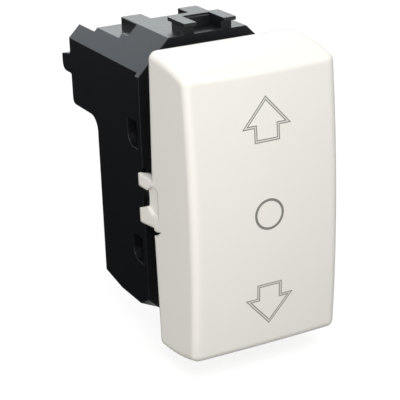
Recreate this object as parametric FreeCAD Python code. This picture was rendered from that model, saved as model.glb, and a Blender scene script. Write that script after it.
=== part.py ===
import FreeCAD, Part
import math
import os

from FreeCAD import Vector

# Roller shutter switch: a one-module wall mechanism with a three-position rocker.
# Millimetres. X runs across the front, +Y goes into the wall, +Z is up.
# The origin is the centre of the flange's front face, where the support frame clips on.

os.makedirs("parts", exist_ok=True)

# Rocker cap
cap_width = 22.5
cap_height = 42.6
cap_depth = 11.2
cap_gap = 4.6
cap_bulge = 1.1
cap_crown = 0.45
cap_end_radius = 29.6
cap_wall = 1.5
cap_face_wall = 1.9
cap_edge_round = 1.2
cap_end_round = 1.1
rim_relief = 0.9

# Guide tabs on the cap's sides, beside the pivot
tab_thickness = 1.3
tab_proud = 0.15
tab_land = 0.15
tab_reach = 0.2
tab_top = 3.3
tab_bottom = 4.0
tab_notch_depth = 2.45
tab_notch_top = 1.4
tab_notch_bottom = 1.0
tab_foot = 0.9
tab_root_depth = 0.6
tab_root_step = 0.5
tab_shoulder_length = 2.2
tab_shoulder_drop = 0.1
tab_clearance = 0.5
tab_side_gap = 0.15
tab_hollow_depth = 0.25
tab_hollow_reach = 0.7
slit_length = 1.5
slit_width = 0.3
slit_rise = 0.6
slit_flare = 0.4

# Front frame, just inside the cap's sides and just beyond its ends
flange_thickness = 1.05
flange_inset = 0.45
flange_overhang = 0.1
corner_chamfer = 4.8
low_corner_chamfer = 5.3
window_height = 29.0
window_round = 1.5
frame_lap = 0.1
locator_reach = 3.0
locator_thickness = 1.1

# Snap hooks at the top and bottom of the frame
hook_width = 7.92
hook_gap = 1.25
hook_thickness = 0.5
hook_front = 0.8
hook_length = 5.0
hook_slot_width = 4.2
hook_slot_length = 4.3
hook_post_length = 3.6
hook_post_inset = 0.3
hook_post_foot = 0.5
hook_back = 0.6

# Bearing cheeks of the frame and the pivot that they carry
pivot_depth = 0.5
pin_radius = 1.4
pin_clearance = 0.07
cheek_thickness = 1.1
cheek_length = 7.6
cheek_height = 22.6
cheek_corner_rise = 1.5
cheek_corner_round = 1.2
cheek_boss_radius = 2.7

# Latches between the frame and the housing, and their windows
latch_height = 2.6
upper_latch_level = 8.3
lower_latch_level = -9.0
latch_length = 2.2
latch_start = 2.1
latch_reach = 0.95
latch_toe = 0.1
latch_clearance = 0.25
window_length = 3.2
window_tail = 1.1
window_corner = 1.6

# Rear housing
flange_lip = 0.4
housing_wall = 1.2
housing_depth = 15.6
bottom_inset = 3.3
mouth_inset = 0.2
mouth_length = 3.4
mouth_overlap = 0.1
corner_cut_length = 2.55
bottom_rise_run = 5.6
bottom_rise = 0.9
block_reach = 8.8
block_bottom = 6.9
block_inner_round = 2.2
block_outer_round = 0.9
ridge_height = 3.1
ridge_reach = 3.2
ridge_round = 1.2
ridge_gap = 0.05
plateau_margin = 0.1
lug_spread = 3.0
lug_length = 3.3
shelf_start = 4.9
shelf_drop = 1.5
ramp_width = 2.2
ramp_length = 4.7
ramp_hollow = 0.42
shelf_tail = 1.9
roof_drop = 2.1

# Terminal chambers at the rear of the block
chamber_length = 5.5
chamber_floor = 0.9
ear_wall = 1.8
partition = 0.8
partition_rise = 0.7
rear_wall = 1.6
screen_thickness = 1.2
wire_radius = 1.45

# Conductor strips
strip_thickness = 0.8
strip_side_gap = 0.3
strip_clearance = 0.15
contact_level = 8.0
strip_end_gap = 0.4

# Clamps and screws
cage_side_gap = 0.15
cage_wall = 0.6
cage_top_wall = 1.2
cage_clearance = 0.2
wire_space = 2.8
screw_radius = 1.45
screw_fit = 0.05
screw_space = 0.8
head_radius = 1.9
head_height = 1.5
head_bevel = 0.35
screw_slot = 0.6
screw_slot_depth = 0.7

# Contacts and the seesaw blade
rivet_radius = 1.5
rivet_head = 0.7
rivet_dome = 0.2
contact_gap = 1.5
blade_width = 4.0
blade_thickness = 0.8
blade_half_length = 9.6
blade_crest = 0.35
blade_crest_place = 0.9
blade_dimple = 0.25
knife_gap = 0.15
knife_foot = 2.2
knife_round = 0.15

# Cradle, plunger and spring
cradle_side_gap = 0.4
cradle_half_height = 5.9
cradle_head_thickness = 3.2
cradle_arm_thickness = 1.4
cradle_arm_half_height = 2.6
cradle_arm_front = 3.0
cradle_arm_rear = 2.4
cradle_arm_flare = 1.2
cradle_arm_flat = 0.6
cradle_clearance = 0.2
head_round = 0.8
pocket_side_wall = 1.4
pocket_end_wall = 1.6
pocket_barrel_wall = 0.9
pocket_floor = 1.2
pocket_round = 0.6
rib_thickness = 1.2
rib_root = 5.2
rib_tip = 2.2
rib_length = 7.5
web_thickness = 1.0
web_root = 4.4
web_tip = 1.8
web_length = 5.4
moulding_overlap = 0.5
barrel_radius = 2.9
barrel_end = 6.2
bore_radius = 1.6
bore_floor = 2.2
plunger_clearance = 0.07
plunger_tip_radius = 1.1
plunger_tip_gap = 0.3
plunger_shank = 6.0
plunger_taper = 1.4
plunger_bevel = 0.25
spring_wire = 0.36
spring_turns = 6.5
spring_clearance = 0.15
clip_thickness = 1.2
clip_half_width = 3.0
clip_catch = 0.7
clip_land = 0.3
clip_lead = 0.9
clip_nose = 0.2
clip_clearance = 0.1

# Places worked out from the sizes above
cap_rim = -cap_gap
cap_front = cap_rim - cap_depth
flange_half = cap_width / 2 - flange_inset
flange_top = cap_height / 2 + flange_overhang
chamfer_corner = flange_half + flange_top - corner_chamfer
plateau_half = flange_half - corner_chamfer + plateau_margin
housing_half = flange_half - flange_lip
housing_inner = housing_half - housing_wall
housing_rear_inner = housing_depth - housing_wall
bottom_level = flange_top - bottom_inset
mouth_bottom = flange_top - mouth_inset
low_chamfer_corner = flange_half + flange_top - low_corner_chamfer
block_depth = housing_depth + block_reach
roof_end = block_depth - chamber_length
roof_level = flange_top - roof_drop
shelf_level = flange_top - shelf_drop
ramp_end = shelf_start + ramp_length
plateau_end = ramp_end + shelf_tail
lug_end = plateau_end + lug_length
chamber_half = (housing_half - ear_wall - partition) / 3
pitch = 2 * chamber_half + partition
cheek_outer = housing_inner - frame_lap
cheek_inner = cheek_outer - cheek_thickness
cradle_half = cheek_inner - cradle_side_gap
strip_front = housing_rear_inner - strip_thickness
fixed_face = strip_front - rivet_head
moving_face = fixed_face - contact_gap
blade_rear = moving_face - rivet_head
blade_front = blade_rear - blade_thickness
knife_edge = blade_rear - knife_gap
cage_floor = block_bottom + chamber_floor
cage_bottom = cage_floor + cage_clearance
wire_bottom = cage_bottom + cage_wall
wire_centre = wire_bottom + wire_space / 2
strip_bottom = wire_bottom + wire_space
strip_top = strip_bottom + strip_thickness
cage_top_inner = strip_top + screw_space
cage_top = cage_top_inner + cage_top_wall
cage_front = roof_end + cage_clearance
cage_rear = block_depth - rear_wall - cage_clearance
cage_half = chamber_half - cage_side_gap
tongue_half = cage_half - cage_wall - cage_side_gap
strip_half = chamber_half - strip_side_gap
screw_place = (cage_front + cage_rear) / 2
head_low = cage_top + cage_clearance
head_top = head_low + head_height
ridge_bottom = wire_centre + wire_radius + ridge_gap
ridge_top = ridge_bottom + ridge_height
tip_centre = blade_front + blade_dimple - blade_crest - plunger_tip_gap - plunger_tip_radius
plunger_shoulder = tip_centre - plunger_taper
plunger_start = plunger_shoulder - plunger_shank
cradle_front = cap_front + cap_face_wall + cap_crown + cradle_clearance
cradle_rear = cradle_front + cradle_head_thickness


def box(x, y, z):
    """Block between low and high values along each axis."""
    return Part.makeBox(x[1] - x[0], y[1] - y[0], z[1] - z[0], Vector(x[0], y[0], z[0]))


def rod(radius, length, start, axis):
    return Part.makeCylinder(radius, length, Vector(*start), Vector(*axis))


def joined(shapes):
    return shapes[0].multiFuse(shapes[1:]).removeSplitter()


def both_sides(shape):
    """The shape and its mirror image across the middle plane."""
    return [shape, shape.mirror(Vector(0, 0, 0), Vector(1, 0, 0))]


def top_and_bottom(shape):
    return [shape, shape.mirror(Vector(0, 0, 0), Vector(0, 0, 1))]


def rounded_face(corners, place):
    """Flat face through (u, v) corners; a third value rounds that corner."""
    count = len(corners)
    ends = []
    for i, corner in enumerate(corners):
        here = Vector(corner[0], corner[1], 0)
        radius = corner[2] if len(corner) > 2 else 0
        if not radius:
            ends.append((here, here, here))
            continue
        before = Vector(*corners[i - 1][:2], 0) - here
        after = Vector(*corners[(i + 1) % count][:2], 0) - here
        half = before.getAngle(after) / 2
        reach = radius / math.tan(half)
        before.normalize()
        after.normalize()
        inward = before + after
        inward.normalize()
        middle = here + inward * (radius / math.sin(half) - radius)
        ends.append((here + before * reach, middle, here + after * reach))
    edges = []
    for i, (start, middle, end) in enumerate(ends):
        if start != end:
            arc = Part.Arc(place(start.x, start.y), place(middle.x, middle.y), place(end.x, end.y))
            edges.append(arc.toShape())
        following = ends[(i + 1) % count][0]
        if not end.isEqual(following, 1e-7):
            edges.append(Part.LineSegment(place(end.x, end.y), place(following.x, following.y)).toShape())
    return Part.Face(Part.Wire(edges))


def side_plate(corners, x):
    """Side outline in (y, z), given thickness between two x values."""
    face = rounded_face(corners, lambda y, z: Vector(x[0], y, z))
    return face.extrude(Vector(x[1] - x[0], 0, 0))


def front_plate(corners, y):
    """Front outline in (x, z), given thickness between two y values."""
    face = rounded_face(corners, lambda x, z: Vector(x, y[0], z))
    return face.extrude(Vector(0, y[1] - y[0], 0))


def cap_form(inset, front):
    """Cushion-shaped block of the cap: sides and ends drawn in by inset, its face at front."""
    half_width = cap_width / 2 - inset
    half_height = cap_height / 2 - inset
    end_radius = cap_end_radius - inset
    beyond = front - 1.5

    def end_level(y):
        return half_height - end_radius + math.sqrt(end_radius ** 2 - (cap_rim - y) ** 2)

    rim = Vector(0, cap_rim, half_height)
    halfway = Vector(0, (cap_rim + beyond) / 2, end_level((cap_rim + beyond) / 2))
    far = Vector(0, beyond, end_level(beyond))
    low_rim = Vector(0, rim.y, -rim.z)
    low_halfway = Vector(0, halfway.y, -halfway.z)
    low_far = Vector(0, far.y, -far.z)
    middle_rim = Vector(0, cap_rim + rim_relief, 0)
    outline = Part.Wire([
        Part.Arc(rim, halfway, far).toShape(),
        Part.LineSegment(far, low_far).toShape(),
        Part.Arc(low_far, low_halfway, low_rim).toShape(),
        Part.LineSegment(low_rim, middle_rim).toShape(),
        Part.LineSegment(middle_rim, rim).toShape(),
    ])
    block = Part.Face(outline).extrude(Vector(cap_width + 2, 0, 0))
    block.translate(Vector(-cap_width / 2 - 1, 0, 0))
    return block.common(cushion(half_width, front))


def cushion(half_width, front):
    """Band whose face is crowned across and bulges lengthwise, with rounded long edges."""
    bulge_radius = (cap_height / 2) ** 2 / (2 * cap_bulge)
    crown_radius = (cap_width / 2) ** 2 / (2 * cap_crown)
    back = cap_rim + 2 * rim_relief + 1
    crown_centre = Vector(0, front + crown_radius, 0)
    corner = half_width - cap_edge_round
    corner_centre = Vector(corner, crown_centre.y - math.sqrt((crown_radius - cap_edge_round) ** 2 - corner ** 2), 0)
    outward = (corner_centre - crown_centre).normalize()
    across = outward + Vector(1, 0, 0)
    across.normalize()
    crown_end = corner_centre + outward * cap_edge_round
    bend = corner_centre + across * cap_edge_round
    side_start = Vector(half_width, corner_centre.y, 0)
    side_end = Vector(half_width, back, 0)
    edges = [Part.Arc(Vector(-crown_end.x, crown_end.y, 0), Vector(0, front, 0), crown_end).toShape()]
    for side in (1, -1):
        points = [Vector(side * point.x, point.y, 0) for point in (crown_end, bend, side_start, side_end)]
        edges.append(Part.Arc(points[0], points[1], points[2]).toShape())
        edges.append(Part.LineSegment(points[2], points[3]).toShape())
    edges.append(Part.LineSegment(side_end, Vector(-half_width, back, 0)).toShape())
    sweep = math.degrees(math.asin((cap_height / 2 + 4) / (bulge_radius + front - back)))
    centre = Vector(0, front + bulge_radius, 0)
    face = Part.Face(Part.Wire(Part.sortEdges(edges)[0]))
    face.rotate(centre, Vector(1, 0, 0), -sweep)
    return face.revolve(centre, Vector(1, 0, 0), 2 * sweep)


def at_end(edge):
    """True for the edges where the cap's ends meet its sides, its long rounds and its face."""
    bounds = edge.BoundBox
    across_end = bounds.YMax < cap_front + cap_bulge + 2 * cap_edge_round and bounds.ZLength < 3
    up_corner = bounds.XLength < 0.01 and bounds.ZLength < 4 and bounds.YLength > cap_depth / 2
    return across_end or up_corner


def cap_tab():
    """Guide tab on the right side, notched at its middle, a little proud and bevelled inside its end."""
    rear = tab_reach
    notch = rear - tab_notch_depth
    root = cap_rim + rim_relief / 2 - tab_root_depth
    corners = [
        (root, tab_top - tab_root_step), (root + tab_shoulder_length, tab_top - tab_shoulder_drop, 1.2),
        (rear, tab_top, 0.25), (rear, tab_notch_top, 0.2), (notch, tab_notch_top, 0.5),
        (notch, -tab_notch_bottom, 0.8), (rear, -tab_notch_bottom - tab_foot, 0.2), (rear, -tab_bottom, 0.3),
        (root, tab_root_step - tab_bottom),
    ]
    outer = cap_width / 2 + tab_proud
    tab = side_plate(corners, (outer - tab_thickness, outer))
    taper = Part.makePolygon([Vector(x, y, -cap_width) for x, y in (
        (outer, rear), (outer + 1, rear), (outer + 1, root), (cap_width / 2, root), (outer, rear))])
    lead = Part.makePolygon([Vector(x, y, -cap_width) for x, y in (
        (outer - tab_land, rear), (outer - tab_land - 2 * tab_thickness, rear - 2 * tab_thickness),
        (outer - tab_land - 2 * tab_thickness, rear + 1), (outer - tab_land, rear + 1), (outer - tab_land, rear))])
    cutters = [Part.Face(outline).extrude(Vector(0, 0, 2 * cap_width)) for outline in (taper, lead)]
    return tab.cut(Part.makeCompound(cutters))


def tab_backing():
    """Thicker root that joins the right tab to the cap's side."""
    low, high = tab_root_step - tab_bottom, tab_top - tab_root_step
    front, rear = cap_rim - 2 * tab_root_depth, cap_rim + rim_relief / 2
    corners = [(front, high), (rear, high), (rear, low), (front, low)]
    return side_plate(corners, ((cap_width - cap_wall) / 2, cap_width / 2 - tab_hollow_depth / 2))


def tab_hollow():
    """Shallow hollow in the cap's right side, from the tab's notch into the cap."""
    notch = tab_reach - tab_notch_depth
    front = cap_rim - tab_hollow_reach
    low, high = -tab_notch_bottom - tab_foot, tab_top - 2 * tab_root_step
    corners = [
        (notch + 0.5, tab_notch_top), (notch, tab_notch_top), (cap_rim + rim_relief, high, 0.3),
        (front, high, tab_hollow_reach), (front, low, 0.3), (cap_rim + 1, low, 0.3),
        (notch, -tab_notch_bottom, 0.5), (notch + 0.5, -tab_notch_bottom),
    ]
    return side_plate(corners, (cap_width / 2 - tab_hollow_depth, cap_width))


def tab_slit():
    """Relief slit in the cap's right side just under the tab, rising inward and flared at the rim."""
    low = -tab_bottom - slit_width
    rear, front = cap_rim + rim_relief, cap_rim - slit_length
    corners = [
        (rear, -tab_bottom), (cap_rim, -tab_bottom), (front, slit_rise - tab_bottom - slit_width / 2),
        (cap_rim - slit_length / 2, low + slit_rise / 2, 0.3), (cap_rim, low - slit_flare, 0.5),
        (rear, low - slit_flare),
    ]
    return side_plate(corners, (cap_width / 2 - 2 * cap_wall, cap_width))


def rocker_cap():
    outer = cap_form(0, cap_front)
    outer = outer.makeFillet(cap_end_round, [e for e in outer.Edges if at_end(e)])
    inner = cap_form(cap_wall, cap_front + cap_face_wall)
    hollow = inner.fuse(inner.translated(Vector(0, rim_relief + 1, 0)))
    shell = outer.cut(hollow)
    solid = joined([shell] + both_sides(cap_tab()) + both_sides(tab_backing()) + top_and_bottom(cap_clip()))
    return solid.cut(Part.makeCompound(both_sides(tab_hollow()) + both_sides(tab_slit())))


def cap_clip():
    """Upper spring clip inside the cap that grips the cradle's head."""
    low = cradle_half_height + clip_clearance
    high = low + clip_thickness
    start = cap_front + cap_face_wall / 2
    catch = cradle_rear + clip_clearance
    tip = catch + clip_land + clip_lead
    corners = [
        (start, low), (catch, low), (catch, low - clip_catch), (catch + clip_land, low - clip_catch),
        (tip, low), (tip + clip_nose, high - clip_nose), (tip, high), (start, high),
    ]
    return side_plate(corners, (-clip_half_width, clip_half_width))


def cradle_pocket():
    """Lightening pocket in the head, between its right side and the barrel."""
    outer = cradle_half - pocket_side_wall
    inner = barrel_radius + pocket_barrel_wall
    half = cradle_half_height - pocket_end_wall
    corner = min(pocket_round, (outer - inner) / 3)
    return front_plate([
        (inner, -half, corner), (outer, -half, corner), (outer, half, corner), (inner, half, corner),
    ], (cradle_front - 1, cradle_rear - pocket_floor))


def cradle_brace(root, tip, length, x):
    """Tapering rib behind the head, between two x values."""
    start, end = cradle_rear - moulding_overlap, cradle_rear + length
    return side_plate([(start, root), (end, tip), (end, -tip), (start, -root)], x)


def rocker_cradle():
    """Head, spring barrel, side arms and pivot pins in one moulding."""
    half, high = cradle_half, cradle_half_height
    head = front_plate([
        (-half, -high, head_round), (half, -high, head_round), (half, high, head_round), (-half, high, head_round),
    ], (cradle_front, cradle_rear))
    barrel = rod(barrel_radius, barrel_end - cradle_rear, (0, cradle_rear, 0), (0, 1, 0))
    start, front, rear = cradle_rear - moulding_overlap, pivot_depth - cradle_arm_front, pivot_depth + cradle_arm_rear
    level = cradle_arm_half_height
    blunt = level - cradle_arm_flat / 2
    arm = side_plate([
        (start, level + cradle_arm_flare), (front, level, cradle_arm_front), (rear, level, blunt),
        (rear, -level, blunt), (front, -level, cradle_arm_front), (start, -level - cradle_arm_flare),
    ], (half - cradle_arm_thickness, half))
    root = half - cradle_arm_thickness / 2
    pin = rod(pin_radius, cheek_outer - root, (root, pivot_depth, 0), (1, 0, 0))
    web = cradle_brace(web_root, web_tip, web_length, (barrel_radius - moulding_overlap, root))
    web = web.common(box((0, cap_width), (cradle_front, barrel_end), (-web_thickness / 2, web_thickness / 2)))
    rib = cradle_brace(rib_root, rib_tip, rib_length, (-rib_thickness / 2, rib_thickness / 2))
    solid = joined([head, barrel, rib] + both_sides(arm) + both_sides(pin) + both_sides(web))
    bore = rod(bore_radius, barrel_end - cradle_front, (0, cradle_front + bore_floor, 0), (0, 1, 0))
    return solid.cut(Part.makeCompound([bore] + both_sides(cradle_pocket())))


def plunger():
    """Round-nosed pin that the spring holds against the seesaw blade."""
    radius = bore_radius - plunger_clearance
    nose = tip_centre + plunger_tip_radius
    bend = plunger_tip_radius * math.sqrt(0.5)
    points = [
        Vector(0, nose, 0), Vector(0, plunger_start, 0), Vector(radius - plunger_bevel, plunger_start, 0),
        Vector(radius, plunger_start + plunger_bevel, 0), Vector(radius, plunger_shoulder, 0),
        Vector(plunger_tip_radius, tip_centre, 0),
    ]
    tip = Part.Arc(points[-1], Vector(bend, tip_centre + bend, 0), points[0]).toShape()
    profile = Part.Wire(Part.makePolygon(points).Edges + [tip])
    return Part.Face(profile).revolve(Vector(0, 0, 0), Vector(0, 1, 0), 360)


def plunger_spring():
    """Coil spring between the bottom of the bore and the plunger."""
    start = cradle_front + bore_floor + spring_wire / 2
    end = plunger_start - spring_wire / 2
    radius = bore_radius - spring_clearance - spring_wire / 2
    helix = Part.makeHelix((end - start) / spring_turns, end - start, radius)
    section = Part.Wire(Part.Circle(Vector(radius, 0, 0), Vector(0, 1, 0), spring_wire / 2).toShape())
    coil = Part.Wire(helix).makePipeShell([section], True, True)
    coil.rotate(Vector(0, 0, 0), Vector(1, 0, 0), -90)
    coil.translate(Vector(0, start, 0))
    return coil


def hook():
    """Slotted snap plate at the top of the frame, on two posts and a low wall between their rear ends."""
    half = hook_width / 2
    low = flange_top + hook_gap
    plate = box((-half, half), (-hook_front, hook_length - hook_front), (low, low + hook_thickness))
    slot = box((-hook_slot_width / 2, hook_slot_width / 2),
               (-hook_front - 1, hook_slot_length - hook_front), (low - 1, low + 1))
    edge = hook_thickness / 2
    post = side_plate([
        (0, flange_top - hook_post_foot), (flange_thickness, flange_top - hook_post_foot),
        (flange_thickness, flange_top), (hook_post_length, flange_top), (hook_post_length, low, 0.4),
        (hook_post_length + 0.5, low + edge), (0, low + edge),
    ], (hook_slot_width / 2, half - hook_post_inset))
    back = box((-half / 2, half / 2), (hook_post_length - hook_back, hook_post_length), (flange_top, low + edge))
    return joined([plate.cut(slot), back] + both_sides(post))


def flange_outline():
    half, top, cut, low_cut = flange_half, flange_top, corner_chamfer, low_corner_chamfer
    return [
        (-half, low_cut - top), (low_cut - half, -top), (half - low_cut, -top), (half, low_cut - top),
        (half, top - cut), (half - cut, top), (cut - half, top), (-half, top - cut),
    ]


def latch(level):
    """Wedge on the right cheek that snaps into the housing's window at this level."""
    root = cheek_outer
    rear = latch_start + latch_length
    inside = root - cheek_thickness / 2
    corners = [(inside, latch_start), (root + latch_reach, latch_start), (root + latch_toe, rear), (inside, rear)]
    face = Part.Face(Part.makePolygon([Vector(x, y, level - latch_height / 2)
                                       for x, y in corners + corners[:1]]))
    return face.extrude(Vector(0, 0, latch_height))


def cheek():
    """Right bearing cheek: a plate behind the flange with a round boss about the pivot."""
    half = cheek_height / 2
    plate = side_plate([
        (flange_thickness / 2, -half), (cheek_length, cheek_corner_rise - half, cheek_corner_round),
        (cheek_length, half - cheek_corner_rise, cheek_corner_round), (flange_thickness / 2, half),
    ], (cheek_inner, cheek_outer))
    boss = rod(cheek_boss_radius, cheek_thickness, (cheek_inner, pivot_depth, 0), (1, 0, 0))
    return joined([plate, boss, latch(upper_latch_level), latch(lower_latch_level)])


def locator(low):
    """Ledge behind the flange that sits just inside the housing's top or bottom wall."""
    half = plateau_half - 1.5
    return box((-half, half), (flange_thickness / 2, locator_reach), (low, low + locator_thickness))


def front_frame():
    plate = front_plate(flange_outline(), (0, flange_thickness))
    half, top = cheek_inner, window_height / 2
    window = front_plate([
        (-half, -top, window_round), (half, -top, window_round),
        (half, top, window_round), (-half, top, window_round),
    ], (-1, flange_thickness + 1))
    top_inner = flange_top - housing_wall - frame_lap
    bottom_inner = housing_wall + frame_lap - mouth_bottom
    pieces = [plate.cut(window), locator(top_inner - locator_thickness), locator(bottom_inner)]
    pieces += both_sides(cheek()) + top_and_bottom(hook())
    solid = joined(pieces)
    tab_inner = cap_width / 2 + tab_proud - tab_thickness - tab_side_gap
    notch = box((tab_inner, cap_width), (-1, flange_thickness + 1),
                (-tab_bottom - tab_clearance, tab_top + tab_clearance))
    hole = rod(pin_radius + pin_clearance, cheek_thickness + 2, (cheek_inner - 1, pivot_depth, 0), (1, 0, 0))
    return solid.cut(Part.makeCompound(both_sides(notch) + both_sides(hole)))


def housing_section(corner, top, bottom, half):
    """Section of the housing in (x, z): its upper corners cut at 45 degrees, its lower ones square."""
    return [
        (-half, -bottom), (half, -bottom), (half, corner - half), (corner - top, top),
        (top - corner, top), (-half, corner - half),
    ]


def low_corner_cut():
    """Right-hand wedge that leads from the flange's bevelled lower corner to the square one behind."""
    legs = Vector(housing_half + bottom_level - low_chamfer_corner, corner_cut_length, 0)
    legs.z = legs.x
    beyond = 1.0
    scale = 1 + beyond / legs.x + beyond / legs.y + beyond / legs.z
    tip = Vector(housing_half + beyond, flange_thickness - beyond, -bottom_level - beyond)
    ends = [tip - Vector(legs.x * scale, 0, 0), tip + Vector(0, legs.y * scale, 0), tip + Vector(0, 0, legs.z * scale)]
    faces = [Part.Face(Part.makePolygon([first, second, third, first])) for first, second, third in
             ((tip, ends[0], ends[1]), (tip, ends[1], ends[2]), (tip, ends[2], ends[0]), ends)]
    return Part.Solid(Part.Shell(faces))


def mouth(inset, length):
    """Low block behind the flange's bottom edge, drawn in by inset."""
    corner = low_chamfer_corner - inset * math.sqrt(2)
    low, high = mouth_bottom - inset, bottom_level - housing_wall - mouth_overlap
    outline = [(low - corner, -low), (corner - low, -low), (corner - high, -high), (high - corner, -high)]
    start = flange_thickness - inset
    return front_plate(outline, (start, flange_thickness + length))


def housing_body():
    """Outside of the housing: its section carried back, trimmed to the stepped side outline."""
    half = housing_half
    section = front_plate(housing_section(chamfer_corner, flange_top, bottom_level, half),
                          (flange_thickness, block_depth + ridge_reach))
    section = section.cut(Part.makeCompound(both_sides(low_corner_cut())))
    side = side_plate([
        (flange_thickness, -bottom_level), (housing_depth - bottom_rise_run, -bottom_level),
        (housing_depth, bottom_rise - bottom_level, 0.3), (housing_depth, block_bottom, block_inner_round),
        (block_depth, block_bottom, block_outer_round), (block_depth, ridge_bottom, 0.3),
        (block_depth + ridge_reach, ridge_bottom, ridge_round),
        (block_depth + ridge_reach, ridge_top - 0.6, 0.3), (block_depth, ridge_top, 0.5),
        (block_depth, flange_top), (flange_thickness, flange_top),
    ], (-half, half))
    return joined([section.common(side), mouth(0, mouth_length)])


def shelf_ramp_cutter():
    """Right-hand cut beside the plateau, with the hollow ramp that rises to it."""
    inner = plateau_half
    outer = inner + ramp_width
    drop = flange_top - shelf_level
    high = flange_top + 1
    wide = cap_width
    bow = Vector(inner + ramp_width * ramp_hollow, 0, shelf_level + drop * ramp_hollow)
    edges = [
        Part.LineSegment(Vector(inner, 0, high), Vector(inner, 0, flange_top)).toShape(),
        Part.Arc(Vector(inner, 0, flange_top), bow, Vector(outer, 0, shelf_level)).toShape(),
        Part.LineSegment(Vector(outer, 0, shelf_level), Vector(wide, 0, shelf_level)).toShape(),
        Part.LineSegment(Vector(wide, 0, shelf_level), Vector(wide, 0, high)).toShape(),
        Part.LineSegment(Vector(wide, 0, high), Vector(inner, 0, high)).toShape(),
    ]
    ramp = Part.Face(Part.Wire(edges)).extrude(Vector(0, ramp_length, 0))
    ramp.translate(Vector(0, shelf_start, 0))
    behind = box((inner, wide), (ramp_end, plateau_end), (shelf_level, high))
    return joined([ramp, behind])


def roof_cutters():
    """What is taken off the top: shelves, the space round the lugs and the lower rear roof."""
    high = flange_top + 1
    wide = cap_width
    beside_lug = box((plateau_half, wide), (plateau_end, lug_end), (roof_level, high))
    between = box((-lug_spread, lug_spread), (plateau_end, lug_end), (roof_level, high))
    behind = box((-wide, wide), (lug_end, block_depth + 5), (roof_level, high))
    return both_sides(shelf_ramp_cutter()) + both_sides(beside_lug) + [between, behind]


def room():
    """Hollow inside of the housing, from its mouth to the screen in front of the clamps."""
    corner = chamfer_corner - housing_wall * math.sqrt(2)
    ceiling = roof_level - housing_wall
    section = front_plate(housing_section(corner, ceiling, bottom_level - housing_wall, housing_inner),
                          (flange_thickness - 1, roof_end - screen_thickness))
    side = side_plate([
        (flange_thickness - 1, housing_wall - bottom_level),
        (housing_depth - bottom_rise_run, housing_wall - bottom_level),
        (housing_rear_inner, bottom_rise + housing_wall - bottom_level),
        (housing_rear_inner, cage_floor, 1.0),
        (roof_end - screen_thickness, cage_floor), (roof_end - screen_thickness, ceiling),
        (flange_thickness - 1, ceiling),
    ], (-housing_inner, housing_inner))
    upper_mouth = box((1 - plateau_half, plateau_half - 1),
                      (flange_thickness - 1, locator_reach + 0.4), (ceiling - 1, flange_top - housing_wall))
    return joined([section.common(side), upper_mouth, mouth(housing_wall, mouth_length - housing_wall)])


def chamber(place):
    """Terminal chamber open at its top, with the slot for its strip and the round wire entry."""
    rear = block_depth - rear_wall
    space = box((place - chamber_half, place + chamber_half), (roof_end, rear), (cage_floor, flange_top))
    slot = box((place - tongue_half - strip_clearance, place + tongue_half + strip_clearance),
               (roof_end - screen_thickness - 1, roof_end + 1),
               (strip_bottom - strip_clearance, strip_top + strip_clearance))
    entry = rod(wire_radius, rear_wall + 1.5, (place, rear - 1, wire_centre), (0, 1, 0))
    return joined([space, slot, entry])


def latch_window(level):
    """Window in the right wall for a latch, longer below it and rounded at its lower rear corner."""
    front = latch_start - latch_clearance
    rear = front + window_length
    high = level + latch_height / 2 + latch_clearance
    low = level - latch_height / 2 - window_tail
    return side_plate([(front, low), (rear, low, window_corner), (rear, high), (front, high)],
                      (housing_inner - 1, cap_width))


def rear_housing():
    inner = pitch + chamber_half
    partition_top = head_top + partition_rise
    over_wall = box((-inner, inner), (block_depth - rear_wall - 0.01, block_depth + 1), (ridge_top, flange_top))
    over_partitions = box((-inner, inner), (roof_end, block_depth), (partition_top, flange_top))
    cutters = roof_cutters() + [room(), over_wall, over_partitions]
    cutters += [chamber(i * pitch) for i in (-1, 0, 1)]
    cutters += both_sides(latch_window(upper_latch_level)) + both_sides(latch_window(lower_latch_level))
    solid = housing_body()
    for cutter in cutters:
        solid = solid.cut(cutter)
    return solid.removeSplitter()


def strip(place, foot):
    """Bent strip: an upright against the rear wall from foot, then a narrower tongue through its clamp."""
    rear = housing_rear_inner
    tongue_start = roof_end - screen_thickness - strip_clearance
    corners = [
        (strip_front, foot), (rear, foot), (rear, strip_bottom, 0.4), (tongue_start, strip_bottom),
        (tongue_start, strip_top), (strip_front, strip_top, 0.4 + strip_thickness),
    ]
    tongue = box((place - tongue_half, place + tongue_half),
                 (tongue_start - 1, cage_rear - strip_end_gap), (strip_bottom, strip_top))
    return joined([side_plate(corners, (place - strip_half, place + strip_half)), tongue])


def strip_foot(start, end, level):
    """Flat foot of a strip, running across the rear wall at one level."""
    return box((start, end), (strip_front, housing_rear_inner), (level - strip_half, level + strip_half))


def knife():
    """Folded support that carries the seesaw blade on its edge."""
    lean = (strip_front - knife_edge) / knife_foot
    thick = strip_thickness * math.hypot(1, lean) / lean
    rear = strip_front + 0.01
    corners = [
        (knife_edge, 0, knife_round), (rear, knife_foot), (rear, knife_foot - thick),
        (knife_edge + thick * lean, 0), (rear, thick - knife_foot), (rear, -knife_foot),
    ]
    return side_plate(corners, (-blade_width / 2, blade_width / 2))


def common_strip():
    foot = strip_foot(-pitch - strip_half, strip_half, 0)
    return joined([strip(-pitch, -strip_half), foot, knife()])


def upper_contact_strip():
    return strip(0, contact_level - rivet_radius - 1.0)


def lower_contact_strip():
    foot = strip_foot(-strip_half, pitch + strip_half, -contact_level)
    return joined([strip(pitch, -contact_level - strip_half), foot])


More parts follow.
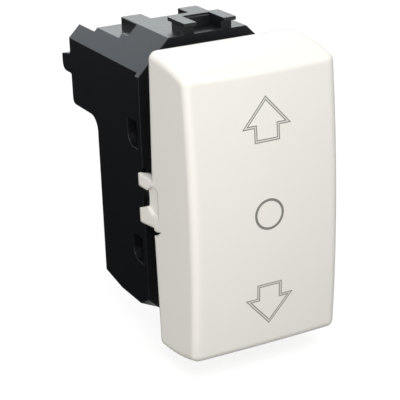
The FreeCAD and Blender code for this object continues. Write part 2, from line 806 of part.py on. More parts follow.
def contact(level, base, towards):
    """Domed contact rivet head standing on a face at base, facing along Y."""
    dome_radius = (rivet_radius ** 2 + rivet_dome ** 2) / (2 * rivet_dome)
    dome_centre = Vector(0, rivet_head - dome_radius, 0)
    cylinder = rod(rivet_radius, rivet_head, (0, 0, 0), (0, 1, 0))
    head = cylinder.common(Part.makeSphere(dome_radius, dome_centre, Vector(1, 0, 0)))
    if towards < 0:
        head = head.mirror(Vector(0, 0, 0), Vector(0, 1, 0))
    head.translate(Vector(0, base, level))
    return head


def contact_blade():
    """Seesaw blade: flat arms, with a crested middle in front and a notch for the knife behind."""
    crest = blade_front - blade_crest
    dimple = crest + blade_dimple
    notch = blade_rear - knife_gap * 2
    spread = 0.7
    upper = [
        (dimple, 0.0, 0.6), (crest, blade_crest_place, 0.3), (blade_front, blade_crest_place + 1.6, 1.0),
        (blade_front, blade_half_length, 0.3), (blade_rear, blade_half_length, 0.3), (blade_rear, spread),
    ]
    lower = [(y, -z, *radius) for y, z, *radius in reversed(upper[1:])]
    return side_plate(upper + [(notch - 0.1, 0.0)] + lower, (-blade_width / 2, blade_width / 2))


def cage_clamp(place):
    """Closed clamp loop round the strip's tongue, with the screw hole in its thick top."""
    loop = front_plate([
        (place - cage_half, cage_bottom, 0.5), (place + cage_half, cage_bottom, 0.5),
        (place + cage_half, cage_top, 0.5), (place - cage_half, cage_top, 0.5),
    ], (cage_front, cage_rear))
    opening = box((place - cage_half + cage_wall, place + cage_half - cage_wall), (cage_front - 1, cage_rear + 1),
                  (wire_bottom, cage_top_inner))
    hole = rod(screw_radius + screw_fit, 5, (place, screw_place, cage_top - 3), (0, 0, 1))
    return loop.cut(opening).cut(hole)


def clamp_screw(place):
    """Slotted pan-head screw whose tip bears on the strip's tongue."""
    shank = rod(screw_radius, head_low - strip_top - 0.05, (place, screw_place, strip_top + 0.05), (0, 0, 1))
    head = rod(head_radius, head_height, (place, screw_place, head_low), (0, 0, 1))
    head = head.makeChamfer(head_bevel, [e for e in head.Edges if e.BoundBox.ZMin > head_low + head_height / 2])
    slot = box((place - head_radius, place + head_radius),
               (screw_place - screw_slot / 2, screw_place + screw_slot / 2), (head_top - screw_slot_depth, head_top + 1))
    return joined([shank, head]).cut(slot)


clamp_places = {"left": -pitch, "centre": 0.0, "right": pitch}

pieces = {
    "rocker_cap": rocker_cap(),
    "rocker_cradle": rocker_cradle(),
    "plunger": plunger(),
    "plunger_spring": plunger_spring(),
    "contact_blade": contact_blade(),
    "upper_moving_contact": contact(contact_level, blade_rear, 1),
    "lower_moving_contact": contact(-contact_level, blade_rear, 1),
    "upper_fixed_contact": contact(contact_level, strip_front, -1),
    "lower_fixed_contact": contact(-contact_level, strip_front, -1),
    "common_strip": common_strip(),
    "upper_contact_strip": upper_contact_strip(),
    "lower_contact_strip": lower_contact_strip(),
    "front_frame": front_frame(),
    "rear_housing": rear_housing(),
}
for name, place in clamp_places.items():
    pieces["clamp_cage_" + name] = cage_clamp(place)
    pieces["clamp_screw_" + name] = clamp_screw(place)

for name, shape in pieces.items():
    shape.exportStep("parts/" + name + ".step")
    print(name, "solids", len(shape.Solids), "valid", shape.isValid(), "volume", round(shape.Volume, 2))
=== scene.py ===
"""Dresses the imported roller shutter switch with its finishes, marks and studio."""
import logging
import math
from dataclasses import dataclass
from enum import Enum
from typing import Callable

import bmesh
import bpy
from mathutils import Matrix, Vector


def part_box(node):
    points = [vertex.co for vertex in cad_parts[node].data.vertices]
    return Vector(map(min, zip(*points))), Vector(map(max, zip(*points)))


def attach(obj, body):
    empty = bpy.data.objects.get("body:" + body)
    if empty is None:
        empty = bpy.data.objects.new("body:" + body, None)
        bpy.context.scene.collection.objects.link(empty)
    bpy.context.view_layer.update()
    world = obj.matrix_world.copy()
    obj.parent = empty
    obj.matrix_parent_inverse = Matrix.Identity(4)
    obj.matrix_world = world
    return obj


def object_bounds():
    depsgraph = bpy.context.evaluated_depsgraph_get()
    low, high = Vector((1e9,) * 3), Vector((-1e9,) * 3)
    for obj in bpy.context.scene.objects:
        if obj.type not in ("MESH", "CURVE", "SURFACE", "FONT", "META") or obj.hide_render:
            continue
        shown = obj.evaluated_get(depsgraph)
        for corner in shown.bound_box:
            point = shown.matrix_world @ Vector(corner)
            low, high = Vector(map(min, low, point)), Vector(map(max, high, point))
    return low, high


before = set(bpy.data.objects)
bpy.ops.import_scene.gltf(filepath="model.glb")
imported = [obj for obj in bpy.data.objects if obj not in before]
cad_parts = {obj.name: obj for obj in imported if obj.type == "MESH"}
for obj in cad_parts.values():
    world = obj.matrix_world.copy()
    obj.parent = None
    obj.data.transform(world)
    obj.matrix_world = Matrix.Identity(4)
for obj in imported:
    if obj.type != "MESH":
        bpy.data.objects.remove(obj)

CAD_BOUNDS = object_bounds()
MM = 0.001

Colour = tuple[float, float, float]
Place = tuple[float, float, float]
log = logging.getLogger("switch")

FLOW_CLOUDS = 90.0
MOTTLE_SPOTS = 650.0
COARSE_GRAIN_SHARE = 0.31
COARSE_GRAIN_WEIGHT = 0.6
MOTTLE_WEIGHT = 0.4


class Body(Enum):
    """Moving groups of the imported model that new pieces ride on."""

    ROCKER = "rocker"


class Slot(Enum):
    """Material slots of the record that this script dresses."""

    CAP = "cap_white"
    BODY = "body_black"
    CRADLE = "cradle_plastic"
    SPRING = "spring_steel"
    STRIP = "strip_brass"
    CONTACT = "contact_silver"
    CLAMP = "clamp_steel"
    SCREW = "screw_steel"


class ShaderGraph:
    """Node tree under construction, with short calls to add and wire nodes."""

    def __init__(self, tree: bpy.types.NodeTree) -> None:
        """Starts on an empty tree.

        Args:
            tree: node tree of a material, a group or the world.
        """
        self.tree = tree
        self.tree.nodes.clear()

    def add(self, kind: str, **settings: object) -> bpy.types.Node:
        """Adds a node and sets its properties.

        Args:
            kind: node type without the leading ShaderNode.
            settings: properties to set on the node.

        Returns:
            The new node.
        """
        node = self.tree.nodes.new("ShaderNode" + kind)
        for name, value in settings.items():
            setattr(node, name, value)
        return node

    def wire(self, start: bpy.types.NodeSocket, end: bpy.types.NodeSocket) -> None:
        """Links an output to an input.

        Args:
            start: output to read.
            end: input to feed.
        """
        self.tree.links.new(start, end)

    def maths(self, operation: str, first: object, second: object) -> bpy.types.NodeSocket:
        """Adds a Math node.

        Args:
            operation: name of the operation.
            first: socket or number for the first input.
            second: socket or number for the second input.

        Returns:
            The value output.
        """
        node = self.add("Math", operation=operation)
        for place, source in enumerate((first, second)):
            if isinstance(source, bpy.types.NodeSocket):
                self.wire(source, node.inputs[place])
            else:
                node.inputs[place].default_value = source
        return node.outputs["Value"]

    def blend(self, amount: bpy.types.NodeSocket, low: object, high: object) -> bpy.types.NodeSocket:
        """Mixes two colours.

        Args:
            amount: share of the second colour, from 0 to 1.
            low: socket or colour at 0.
            high: socket or colour at 1.

        Returns:
            The mixed colour output.
        """
        node = self.add("Mix", data_type="RGBA")
        self.wire(amount, node.inputs["Factor"])
        for socket, source in ((node.inputs[6], low), (node.inputs[7], high)):
            if isinstance(source, bpy.types.NodeSocket):
                self.wire(source, socket)
            else:
                socket.default_value = source
        return node.outputs[2]

    def noise(self, coordinates: bpy.types.NodeSocket, scale: object, detail: float) -> bpy.types.NodeSocket:
        """Adds a noise texture.

        Args:
            coordinates: vector to read.
            scale: socket or number of features per metre.
            detail: number of finer layers.

        Returns:
            The factor output.
        """
        node = self.add("TexNoise")
        self.wire(coordinates, node.inputs["Vector"])
        node.inputs["Detail"].default_value = detail
        if isinstance(scale, bpy.types.NodeSocket):
            self.wire(scale, node.inputs["Scale"])
        else:
            node.inputs["Scale"].default_value = scale
        return node.outputs["Factor"] if "Factor" in node.outputs else node.outputs["Fac"]


def shade(colour: Colour, factor: float = 1.0) -> tuple[float, float, float, float]:
    """Scales a colour and gives it full opacity.

    Args:
        colour: linear red, green and blue.
        factor: multiplier for all three.

    Returns:
        The colour with its alpha.
    """
    return (*(channel * factor for channel in colour), 1.0)


def open_group(name: str, inputs: dict[str, str], outputs: dict[str, str]) -> tuple[ShaderGraph, dict, dict]:
    """Makes an empty shader group with named sockets.

    Args:
        name: name of the group.
        inputs: socket type by input name.
        outputs: socket type by output name.

    Returns:
        The graph, the input sockets and the output sockets by name.
    """
    tree = bpy.data.node_groups.new(name, "ShaderNodeTree")
    for direction, sockets in (("INPUT", inputs), ("OUTPUT", outputs)):
        for label, kind in sockets.items():
            tree.interface.new_socket(name=label, in_out=direction, socket_type="NodeSocket" + kind)
    graph = ShaderGraph(tree)
    entry = tree.nodes.new("NodeGroupInput")
    result = tree.nodes.new("NodeGroupOutput")
    sources = {label: entry.outputs[label] for label in inputs}
    targets = {label: result.inputs[label] for label in outputs}
    return graph, sources, targets


def moulded_skin() -> bpy.types.NodeTree:
    """Builds the group for moulded plastic: faint flow tone, uneven gloss and a fine eroded grain.

    Returns:
        The group's node tree.
    """
    graph, given, out = open_group(
        "moulded skin",
        {"Coordinates": "Vector", "Base": "Color", "Flow": "Color", "Grain": "Float", "Roughness": "Float",
         "Spread": "Float"},
        {"Colour": "Color", "Roughness": "Float", "Height": "Float"})
    cloud = graph.noise(given["Coordinates"], FLOW_CLOUDS, 2.0)
    speckle = graph.noise(given["Coordinates"], given["Grain"], 4.0)
    coarse_grain = graph.maths("MULTIPLY", given["Grain"], COARSE_GRAIN_SHARE)
    coarse = graph.noise(given["Coordinates"], coarse_grain, 2.0)
    graph.wire(graph.blend(cloud, given["Base"], given["Flow"]), out["Colour"])
    uneven = graph.maths("MULTIPLY", graph.maths("SUBTRACT", coarse, 0.5), given["Spread"])
    graph.wire(graph.maths("ADD", given["Roughness"], uneven), out["Roughness"])
    graph.wire(graph.maths("ADD", speckle, graph.maths("MULTIPLY", coarse, COARSE_GRAIN_WEIGHT)), out["Height"])
    return graph.tree


def worked_metal() -> bpy.types.NodeTree:
    """Builds the group for rolled, drawn or plated metal: lines along one direction and a mottled tint.

    Returns:
        The group's node tree.
    """
    graph, given, out = open_group(
        "worked metal",
        {"Coordinates": "Vector", "Stretch": "Vector", "Base": "Color", "Tint": "Color", "Lines": "Float",
         "Roughness": "Float", "Spread": "Float"},
        {"Colour": "Color", "Roughness": "Float", "Height": "Float"})
    stretched = graph.add("VectorMath", operation="MULTIPLY")
    graph.wire(given["Coordinates"], stretched.inputs[0])
    graph.wire(given["Stretch"], stretched.inputs[1])
    lines = graph.noise(stretched.outputs["Vector"], given["Lines"], 3.0)
    mottle = graph.noise(given["Coordinates"], MOTTLE_SPOTS, 3.0)
    graph.wire(graph.blend(mottle, given["Base"], given["Tint"]), out["Colour"])
    uneven = graph.maths("MULTIPLY", graph.maths("SUBTRACT", lines, 0.5), given["Spread"])
    graph.wire(graph.maths("ADD", given["Roughness"], uneven), out["Roughness"])
    graph.wire(graph.maths("ADD", lines, graph.maths("MULTIPLY", mottle, MOTTLE_WEIGHT)), out["Height"])
    return graph.tree


@dataclass(frozen=True)
class PlasticFinish:
    """Moulded plastic surface.

    Attributes:
        name: name of the material.
        base: linear colour.
        flow: linear colour where the melt flowed thicker.
        grain: eroded grain features per metre.
        grain_depth: height of that grain in metres.
        roughness: mean roughness.
        spread: how far the roughness wanders.
        specular: specular level of the shader.
        soft_edge: radius in metres over which edges shade as if rounded further.
    """

    name: str
    base: Colour
    flow: Colour
    grain: float
    grain_depth: float
    roughness: float
    spread: float
    specular: float
    soft_edge: float = 0.0

    def material(self, skin: bpy.types.NodeTree) -> bpy.types.Material:
        """Builds the material.

        Args:
            skin: group made by moulded_skin.

        Returns:
            The new material.
        """
        made = bpy.data.materials.new(self.name)
        made.use_nodes = True
        graph = ShaderGraph(made.node_tree)
        group = graph.add("Group", node_tree=skin)
        group.inputs["Base"].default_value = shade(self.base)
        group.inputs["Flow"].default_value = shade(self.flow)
        group.inputs["Grain"].default_value = self.grain
        group.inputs["Roughness"].default_value = self.roughness
        group.inputs["Spread"].default_value = self.spread
        shader = wire_surface(graph, group, self.grain_depth)
        shader.inputs["Specular IOR Level"].default_value = self.specular
        if self.soft_edge:
            edge = graph.add("Bevel", samples=8)
            edge.inputs["Radius"].default_value = self.soft_edge
            bump = shader.inputs["Normal"].links[0].from_node
            graph.wire(edge.outputs["Normal"], bump.inputs["Normal"])
        return made


@dataclass(frozen=True)
class MetalFinish:
    """Worked metal surface.

    Attributes:
        name: name of the material.
        base: linear colour.
        tint: linear colour of the tarnish or plating.
        stretch: squeeze of the pattern along X, Y and Z, small along the lines.
        lines: rolled or drawn lines per metre.
        depth: height of the lines in metres.
        roughness: mean roughness.
        spread: how far the roughness wanders.
    """

    name: str
    base: Colour
    tint: Colour
    stretch: Place
    lines: float
    depth: float
    roughness: float
    spread: float

    def material(self, metal: bpy.types.NodeTree) -> bpy.types.Material:
        """Builds the material.

        Args:
            metal: group made by worked_metal.

        Returns:
            The new material.
        """
        made = bpy.data.materials.new(self.name)
        made.use_nodes = True
        graph = ShaderGraph(made.node_tree)
        group = graph.add("Group", node_tree=metal)
        group.inputs["Stretch"].default_value = self.stretch
        group.inputs["Base"].default_value = shade(self.base)
        group.inputs["Tint"].default_value = shade(self.tint)
        group.inputs["Lines"].default_value = self.lines
        group.inputs["Roughness"].default_value = self.roughness
        group.inputs["Spread"].default_value = self.spread
        shader = wire_surface(graph, group, self.depth)
        shader.inputs["Metallic"].default_value = 1.0
        return made


def wire_surface(graph: ShaderGraph, group: bpy.types.Node, depth: float) -> bpy.types.Node:
    """Wires a surface group into a Principled shader with its height as bump.

    Args:
        graph: graph of the material.
        group: group node with Colour, Roughness and Height outputs.
        depth: bump distance in metres.

    Returns:
        The Principled node.
    """
    place = graph.add("TexCoord")
    shader = graph.add("BsdfPrincipled")
    bump = graph.add("Bump")
    output = graph.add("OutputMaterial")
    graph.wire(place.outputs["Object"], group.inputs["Coordinates"])
    graph.wire(group.outputs["Colour"], shader.inputs["Base Color"])
    graph.wire(group.outputs["Roughness"], shader.inputs["Roughness"])
    graph.wire(group.outputs["Height"], bump.inputs["Height"])
    bump.inputs["Distance"].default_value = depth
    graph.wire(bump.outputs["Normal"], shader.inputs["Normal"])
    graph.wire(shader.outputs["BSDF"], output.inputs["Surface"])
    return shader


PLASTICS: dict[Slot, PlasticFinish] = {
    Slot.CAP: PlasticFinish("warm white cap", (0.836, 0.819, 0.768), (0.821, 0.804, 0.748), 5200.0, 0.9e-6,
                            0.44, 0.10, 0.28, 0.55 * MM),
    Slot.BODY: PlasticFinish("satin black body", (0.0022, 0.0026, 0.0040), (0.0030, 0.0034, 0.0048),
                             7800.0, 2.2e-6, 0.38, 0.10, 0.49, 0.12 * MM),
    Slot.CRADLE: PlasticFinish("natural cradle", (0.70, 0.69, 0.65), (0.66, 0.645, 0.60), 4300.0, 1.4e-6,
                               0.45, 0.10, 0.45),
}

METALS: dict[Slot, MetalFinish] = {
    Slot.SPRING: MetalFinish("drawn spring wire", (0.60, 0.60, 0.62), (0.50, 0.49, 0.48), (1.0, 0.2, 1.0),
                             9000.0, 1.0e-6, 0.28, 0.15),
    Slot.STRIP: MetalFinish("rolled brass", (0.80, 0.58, 0.27), (0.70, 0.47, 0.20), (1.0, 1.0, 0.05),
                            6000.0, 1.2e-6, 0.30, 0.18),
    Slot.CONTACT: MetalFinish("silver rivet", (0.88, 0.87, 0.84), (0.78, 0.76, 0.72), (1.0, 1.0, 1.0),
                              5200.0, 0.8e-6, 0.22, 0.14),
    Slot.CLAMP: MetalFinish("zinc clamp", (0.62, 0.63, 0.64), (0.56, 0.55, 0.48), (0.08, 1.0, 1.0),
                            5200.0, 1.5e-6, 0.36, 0.20),
    Slot.SCREW: MetalFinish("zinc screw", (0.70, 0.69, 0.64), (0.60, 0.57, 0.46), (1.0, 0.15, 1.0),
                            6400.0, 1.3e-6, 0.30, 0.20),
}

MARK_EDGE = PlasticFinish("mark edge", (0.20, 0.197, 0.18), (0.23, 0.225, 0.205), 6000.0, 0.5e-6, 0.5, 0.08, 0.3)
MARK_FILL = PlasticFinish("mark fill", (0.68, 0.66, 0.61), (0.70, 0.68, 0.63), 6000.0, 0.5e-6, 0.5, 0.08, 0.3)


class Wardrobe:
    """Every material of the switch, made once and handed out by slot."""

    def __init__(self) -> None:
        """Makes the two surface groups and the materials that use them."""
        skin, metal = moulded_skin(), worked_metal()
        self.by_slot = {slot: finish.material(skin) for slot, finish in PLASTICS.items()}
        self.by_slot.update({slot: finish.material(metal) for slot, finish in METALS.items()})
        self.mark_edge = MARK_EDGE.material(skin)
        self.mark_fill = MARK_FILL.material(skin)

    def dress(self, node: str, slot: Slot) -> None:
        """Puts a slot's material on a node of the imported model.

        Args:
            node: name of the node.
            slot: material slot whose finish it takes.
        """
        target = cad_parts[node]
        if not target.material_slots:
            target.data.materials.append(self.by_slot[slot])
        for holder in target.material_slots:
            holder.material = self.by_slot[slot]
        log.info("dressed %s in %s", node, self.by_slot[slot].name)


def deselect_all() -> None:
    """Leaves edit mode and clears the selection."""
    if bpy.context.object and bpy.context.object.mode != "OBJECT":
        bpy.ops.object.mode_set(mode="OBJECT")
    bpy.ops.object.select_all(action="DESELECT")


def apply_place(piece: bpy.types.Object) -> None:
    """Moves the place, turn and scale of the selected object into its mesh.

    Args:
        piece: the selected object.
    """
    bpy.ops.object.transform_apply(location=True, rotation=True, scale=True)
    log.debug("placed %s", piece.name)


def pick_vertices(piece: bpy.types.Object, chosen: Callable[[Vector], bool]) -> int:
    """Selects in edit mode the vertices that a test picks, and the edges and faces that they span.

    Args:
        piece: object in edit mode.
        chosen: test on a vertex's place.

    Returns:
        The number of vertices selected.
    """
    mesh = bmesh.from_edit_mesh(piece.data)
    bpy.ops.mesh.select_all(action="DESELECT")
    count = 0
    for vertex in mesh.verts:
        if chosen(vertex.co):
            vertex.select = True
            count += 1
    mesh.select_flush(True)
    bmesh.update_edit_mesh(piece.data)
    return count


@dataclass
class KeyMarks:
    """The generic arrows and the circle on the key's face.

    Attributes:
        wardrobe: materials to dress the marks in.
        tip: height of an arrow's tip from the middle of the key, in metres.
        wing: height of its wings.
        tail: height of its foot.
        wing_half: half the width over the wings.
        stem_half: half the width of the stem.
        edge_line: width of each of the two thin lines round an arrow.
        band: width between them.
        ring_radius: outer radius of the circle.
        ring_line: width of the circle's line.
        proud: how far a mark stands off the face.
        film: thickness of a mark.
        clear: room between the flat mark and the face before it is laid on.
        ring_sides: sides of the circle.
        cuts: cuts along each edge of an arrow, so that it follows the face.
        coarse: a mark with fewer faces than this is cut finely.
    """

    wardrobe: Wardrobe
    tip: float = 16.15 * MM
    wing: float = 12.0 * MM
    tail: float = 10.0 * MM
    wing_half: float = 3.68 * MM
    stem_half: float = 1.9 * MM
    edge_line: float = 0.13 * MM
    band: float = 0.17 * MM
    ring_radius: float = 2.2 * MM
    ring_line: float = 0.36 * MM
    proud: float = 0.008 * MM
    film: float = 0.006 * MM
    clear: float = 0.2 * MM
    ring_sides: int = 72
    cuts: int = 7
    coarse: int = 40

    def build(self) -> None:
        """Models the three marks, dresses them and makes them ride with the key."""
        up = self.arrow("up_arrow_mark")
        down = self.arrow("down_arrow_mark")
        self.turn_down(down)
        circle = self.circle("stop_circle_mark")
        for mark in (up, down, circle):
            self.settle(mark)
            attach(mark, Body.ROCKER.value)
            log.info("marked %s with %d faces", mark.name, len(mark.data.polygons))

    def front(self) -> float:
        """Finds the plane where a mark is shaped.

        Returns:
            Its place along Y, just in front of the key's face.
        """
        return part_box("rocker_cap")[0].y - self.clear

    def arrow(self, name: str) -> bpy.types.Object:
        """Shapes an arrow from a plane: a stem, wings and a tip, then its band of lines.

        Args:
            name: name of the mark.

        Returns:
            The mark, flat in front of the face.
        """
        deselect_all()
        middle = (self.tail + self.wing) / 2
        bpy.ops.mesh.primitive_plane_add(size=1.0, location=(0, self.front(), middle),
                                         rotation=(math.pi / 2, 0, 0))
        mark = bpy.context.object
        mark.name = mark.data.name = name
        mark.scale = (2 * self.stem_half, self.wing - self.tail, 1.0)
        apply_place(mark)
        bpy.ops.object.mode_set(mode="EDIT")
        bpy.ops.mesh.select_mode(type="VERT")
        pick_vertices(mark, lambda place: place.z > middle)
        bpy.ops.mesh.extrude_region_move()
        bpy.ops.transform.resize(value=(self.wing_half / self.stem_half, 1, 1))
        bpy.ops.mesh.extrude_region_move(TRANSFORM_OT_translate={"value": (0, 0, self.tip - self.wing)})
        bpy.ops.mesh.merge(type="CENTER")
        bpy.ops.mesh.select_all(action="SELECT")
        bpy.ops.mesh.dissolve_faces()
        self.line_bands(mark, (self.edge_line, self.band, self.edge_line), (0, 1, 0))
        return mark

    def circle(self, name: str) -> bpy.types.Object:
        """Shapes the circle's ring from a filled circle.

        Args:
            name: name of the mark.

        Returns:
            The mark, flat in front of the face.
        """
        deselect_all()
        bpy.ops.mesh.primitive_circle_add(vertices=self.ring_sides, radius=self.ring_radius, fill_type="NGON",
                                          location=(0, self.front(), 0), rotation=(math.pi / 2, 0, 0))
        mark = bpy.context.object
        mark.name = mark.data.name = name
        apply_place(mark)
        bpy.ops.object.mode_set(mode="EDIT")
        self.line_bands(mark, (self.ring_line,), (0,))
        return mark

    def line_bands(self, mark: bpy.types.Object, widths: tuple[float, ...], slots: tuple[int, ...]) -> None:
        """Insets a face once for each band, keeps the bands and drops the middle.

        Args:
            mark: object in edit mode with one face.
            widths: width of each band from the outside in.
            slots: material index of each band.
        """
        mark.data.materials.append(self.wardrobe.mark_edge)
        mark.data.materials.append(self.wardrobe.mark_fill)
        bpy.ops.mesh.select_mode(type="FACE")
        bpy.ops.mesh.select_all(action="SELECT")
        known: set[int] = set()
        for width, slot in zip(widths, slots):
            bpy.ops.mesh.inset(thickness=width, depth=0, use_even_offset=True)
            mesh = bmesh.from_edit_mesh(mark.data)
            for face in mesh.faces:
                if not face.select and face.index not in known:
                    face.material_index = slot
            mesh.faces.index_update()
            known = {face.index for face in mesh.faces if not face.select}
        bmesh.update_edit_mesh(mark.data)
        bpy.ops.mesh.delete(type="FACE")
        bpy.ops.object.mode_set(mode="OBJECT")

    def turn_down(self, mark: bpy.types.Object) -> None:
        """Turns an arrow half round in the plane of the face.

        Args:
            mark: flat arrow in front of the face.
        """
        deselect_all()
        mark.select_set(True)
        bpy.context.view_layer.objects.active = mark
        mark.rotation_euler = (0, math.pi, 0)
        apply_place(mark)

    def settle(self, mark: bpy.types.Object) -> None:
        """Cuts a flat mark finely, lays it on the key's face and gives it a thickness.

        Args:
            mark: flat mark in front of the face.
        """
        deselect_all()
        mark.select_set(True)
        bpy.context.view_layer.objects.active = mark
        bpy.ops.object.mode_set(mode="EDIT")
        bpy.ops.mesh.select_all(action="SELECT")
        if len(mark.data.polygons) < self.coarse:
            bpy.ops.mesh.subdivide(number_cuts=self.cuts)
        bpy.ops.object.mode_set(mode="OBJECT")
        lay = mark.modifiers.new("lay on face", "SHRINKWRAP")
        lay.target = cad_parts["rocker_cap"]
        lay.wrap_method = "PROJECT"
        lay.use_project_y = True
        lay.use_positive_direction = True
        lay.use_negative_direction = False
        lay.offset = self.proud
        bpy.ops.object.modifier_apply(modifier=lay.name)
        film = mark.modifiers.new("film", "SOLIDIFY")
        film.thickness = self.film
        film.offset = -1.0
        bpy.ops.object.modifier_apply(modifier=film.name)
        bpy.ops.object.mode_set(mode="EDIT")
        bpy.ops.mesh.select_all(action="SELECT")
        bpy.ops.mesh.normals_make_consistent(inside=False)
        bpy.ops.object.mode_set(mode="OBJECT")


@dataclass
class Key:
    """The white key, its cradle and what its face shows.

    Attributes:
        wardrobe: materials to dress it in.
    """

    wardrobe: Wardrobe

    def build(self) -> None:
        """Dresses the key and its cradle and models the marks."""
        self.wardrobe.dress("rocker_cap", Slot.CAP)
        self.wardrobe.dress("rocker_cradle", Slot.CRADLE)
        KeyMarks(self.wardrobe).build()


@dataclass
class Housing:
    """The black frame and housing.

    Attributes:
        wardrobe: materials to dress it in.
    """

    wardrobe: Wardrobe

    def build(self) -> None:
        """Dresses the two shells."""
        for node in ("front_frame", "rear_housing"):
            self.wardrobe.dress(node, Slot.BODY)


@dataclass
class Mechanism:
    """Plunger, spring, seesaw blade, rivets, strips and clamps.

    Attributes:
        wardrobe: materials to dress it in.
    """

    wardrobe: Wardrobe

    def build(self) -> None:
        """Dresses every inner piece."""
        self.wardrobe.dress("plunger", Slot.CRADLE)
        self.wardrobe.dress("plunger_spring", Slot.SPRING)
        self.wardrobe.dress("contact_blade", Slot.STRIP)
        for strip in ("common_strip", "upper_contact_strip", "lower_contact_strip"):
            self.wardrobe.dress(strip, Slot.STRIP)
        for level in ("upper", "lower"):
            for kind in ("moving", "fixed"):
                self.wardrobe.dress(f"{level}_{kind}_contact", Slot.CONTACT)
        for side in ("left", "centre", "right"):
            self.wardrobe.dress("clamp_cage_" + side, Slot.CLAMP)
            self.wardrobe.dress("clamp_screw_" + side, Slot.SCREW)


@dataclass(frozen=True)
class SoftLight:
    """Rectangular soft light aimed at the switch.

    Attributes:
        name: name of the light.
        place: where it hangs, in metres.
        size: width and height in metres.
        power: radiant power in watts.
        colour: linear colour.
    """

    name: str
    place: Place
    size: tuple[float, float]
    power: float
    colour: Colour = (1.0, 1.0, 1.0)


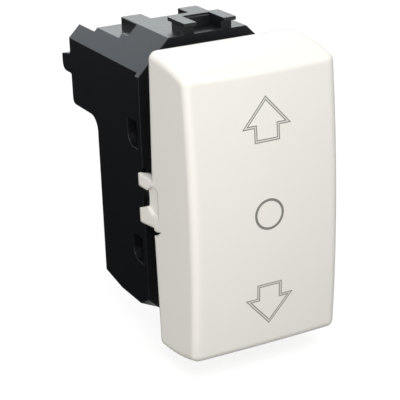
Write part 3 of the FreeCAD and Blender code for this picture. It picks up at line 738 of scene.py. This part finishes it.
@dataclass
class Studio:
    """Pale floor, white surroundings, soft lights and the camera.

    Attributes:
        lights: the soft lights.
        target: point the camera looks at, in metres.
        away: unit direction from that point to the camera.
        distance: distance of the camera in metres.
        roll: turn of the camera about its view, in radians.
        lens: focal length in millimetres on a 36 mm sensor.
        floor_gap: room between the switch and the floor.
        floor_size: side of the floor.
        ambient: strength of the surroundings on matt surfaces.
        floor_glow: light added to the floor where it is looked at or mirrored.
        floor_colour: linear colour of the floor under the lamps.
        card_place: middle of the black card and its height over the floor.
        card_size: side of the black card.
        card_colour: linear colour of the black card.
    """

    lights: tuple[SoftLight, ...] = (
        SoftLight("rear_softbox", (0.20, 0.80, 0.46), (0.62, 0.34), 2.45, (0.90, 0.975, 1.0)),
        SoftLight("key_softbox", (-0.04, -0.21, 0.27), (0.28, 0.22), 0.92),
        SoftLight("left_fill", (-0.75, -0.45, 0.10), (0.6, 0.6), 5.5, (1.0, 0.975, 0.945)),
        SoftLight("cool_edge", (-0.34, 0.79, 0.41), (0.30, 0.30), 0.14, (0.10, 0.60, 1.0)),
    )
    target: Place = (-4.46 * MM, -4.6 * MM, -0.69 * MM)
    away: Place = (-0.4286, -0.8301, 0.3569)
    distance: float = 189.6 * MM
    roll: float = math.radians(-1.97)
    lens: float = 124.3
    floor_gap: float = 0.2 * MM
    floor_size: float = 3.0
    ambient: float = 0.36
    floor_glow: float = 0.86
    floor_colour: Colour = (0.20, 0.197, 0.194)
    card_place: Place = (-0.41, 0.36, 0.001)
    card_size: float = 0.8
    card_colour: Colour = (0.004, 0.004, 0.005)

    def build(self) -> None:
        """Makes the floor, the surroundings, the lights and the camera."""
        self.floor()
        self.black_card()
        self.surroundings()
        for light in self.lights:
            self.hang(light)
        self.camera()

    def seen_or_mirrored(self, graph: ShaderGraph) -> bpy.types.NodeSocket:
        """Gives 1 for rays from the camera or from a mirror or glass, and 0 for others.

        Args:
            graph: graph to add the nodes to.

        Returns:
            The value output.
        """
        path = graph.add("LightPath")
        seen = graph.maths("MAXIMUM", path.outputs["Is Camera Ray"], path.outputs["Is Glossy Ray"])
        return graph.maths("MAXIMUM", seen, path.outputs["Is Transmission Ray"])

    def floor(self) -> None:
        """Lays the pale floor just under the switch."""
        deselect_all()
        low = CAD_BOUNDS[0].z - self.floor_gap
        bpy.ops.mesh.primitive_plane_add(size=self.floor_size, location=(0, 0, low))
        floor = bpy.context.object
        floor.name = "studio_floor"
        made = bpy.data.materials.new("studio floor")
        made.use_nodes = True
        graph = ShaderGraph(made.node_tree)
        shader = graph.add("BsdfPrincipled")
        shader.inputs["Base Color"].default_value = shade(self.floor_colour)
        shader.inputs["Roughness"].default_value = 0.9
        shader.inputs["Specular IOR Level"].default_value = 0.1
        shader.inputs["Emission Color"].default_value = (1.0, 1.0, 1.0, 1.0)
        glow = graph.maths("MULTIPLY", self.seen_or_mirrored(graph), self.floor_glow)
        graph.wire(glow, shader.inputs["Emission Strength"])
        output = graph.add("OutputMaterial")
        graph.wire(shader.outputs["BSDF"], output.inputs["Surface"])
        floor.data.materials.append(made)

    def black_card(self) -> None:
        """Lays a black card behind the switch on its left, seen only in reflections."""
        deselect_all()
        low = CAD_BOUNDS[0].z - self.floor_gap
        place = Vector(self.card_place) + Vector((0, 0, low))
        bpy.ops.mesh.primitive_plane_add(size=self.card_size, location=place)
        card = bpy.context.object
        card.name = "black_card"
        made = bpy.data.materials.new("black card")
        made.use_nodes = True
        graph = ShaderGraph(made.node_tree)
        shader = graph.add("BsdfPrincipled")
        shader.inputs["Base Color"].default_value = shade(self.card_colour)
        shader.inputs["Roughness"].default_value = 1.0
        shader.inputs["Specular IOR Level"].default_value = 0.0
        output = graph.add("OutputMaterial")
        graph.wire(shader.outputs["BSDF"], output.inputs["Surface"])
        card.data.materials.append(made)
        card.visible_camera = card.visible_diffuse = card.visible_shadow = False

    def surroundings(self) -> None:
        """Makes the world white where it is seen and soft where it lights."""
        world = bpy.data.worlds.new("white surroundings")
        bpy.context.scene.world = world
        world.use_nodes = True
        graph = ShaderGraph(world.node_tree)
        background = graph.add("Background")
        seen = self.seen_or_mirrored(graph)
        extra = graph.maths("MULTIPLY", seen, 1.0 - self.ambient)
        graph.wire(graph.maths("ADD", extra, self.ambient), background.inputs["Strength"])
        background.inputs["Color"].default_value = (1.0, 1.0, 1.0, 1.0)
        output = graph.add("OutputWorld")
        graph.wire(background.outputs["Background"], output.inputs["Surface"])

    def hang(self, light: SoftLight) -> None:
        """Hangs a soft light and aims it at the switch.

        Args:
            light: the light to hang.
        """
        lamp = bpy.data.lights.new(light.name, "AREA")
        lamp.shape = "RECTANGLE"
        lamp.size, lamp.size_y = light.size
        lamp.energy = light.power
        lamp.color = light.colour
        holder = bpy.data.objects.new(light.name, lamp)
        bpy.context.scene.collection.objects.link(holder)
        holder.location = light.place
        holder.rotation_euler = (-Vector(light.place)).to_track_quat("-Z", "Y").to_euler()

    def camera(self) -> None:
        """Sets the camera at the photograph's viewpoint."""
        away = Vector(self.away).normalized()
        right = (-away).cross(Vector((0, 0, 1))).normalized()
        up = right.cross(-away).normalized()
        turned_right = right * math.cos(self.roll) + up * math.sin(self.roll)
        turned_up = up * math.cos(self.roll) - right * math.sin(self.roll)
        lens = bpy.data.cameras.new("product_camera")
        lens.sensor_width = 36.0
        lens.lens = self.lens
        lens.clip_start = 0.01
        lens.clip_end = 10.0
        holder = bpy.data.objects.new("product_camera", lens)
        bpy.context.scene.collection.objects.link(holder)
        turn = Matrix((turned_right, turned_up, away)).transposed()
        holder.matrix_world = Matrix.Translation(Vector(self.target) + away * self.distance) @ turn.to_4x4()
        bpy.context.scene.camera = holder


def main() -> None:
    """Dresses the switch, models its marks and sets up the studio."""
    logging.basicConfig(level=logging.INFO, format="%(message)s")
    bpy.context.scene.view_settings.view_transform = "Standard"
    wardrobe = Wardrobe()
    for section in (Housing(wardrobe), Key(wardrobe), Mechanism(wardrobe)):
        section.build()
    Studio().build()


if __name__ == "__main__":
    main()
